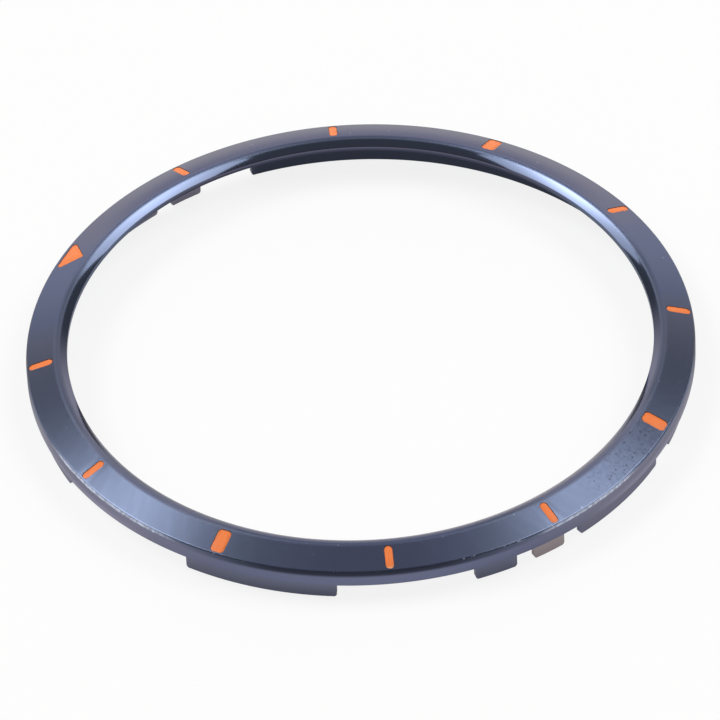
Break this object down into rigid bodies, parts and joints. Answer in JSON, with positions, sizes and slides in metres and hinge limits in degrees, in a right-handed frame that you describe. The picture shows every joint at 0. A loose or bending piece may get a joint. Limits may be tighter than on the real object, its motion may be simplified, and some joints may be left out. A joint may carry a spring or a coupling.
{
  "type": "watch bezel",
  "caption": "Flat ring with a conical blue metal face, hour marks engraved and filled with orange lacquer, and short tabs under its outer band.",
  "frame": {"origin": "on the ring's axis, at the height of the tab tips that it stands on", "axes": "+Z along the ring's axis, up out of the face; +Y towards the triangle at 12 o'clock; +X towards 3 o'clock"},
  "size_m": [0.042, 0.042, 0.003],
  "materials": {
    "coated_metal": "dark blue vapour coat over machined metal, satin, worn to bare metal along the outer edge",
    "lacquer": "orange lacquer, semi-gloss, slightly sunk"
  },
  "bodies": {
    "root": {"bezel_ring": "coated_metal", "lacquer_triangle_12": "lacquer", "lacquer_slot_01": "lacquer", "lacquer_slot_02": "lacquer", "lacquer_bar_03": "lacquer", "lacquer_slot_04": "lacquer", "lacquer_slot_05": "lacquer", "lacquer_bar_06": "lacquer", "lacquer_slot_07": "lacquer", "lacquer_slot_08": "lacquer", "lacquer_bar_09": "lacquer", "lacquer_slot_10": "lacquer", "lacquer_slot_11": "lacquer"}
  },
  "joints": []
}
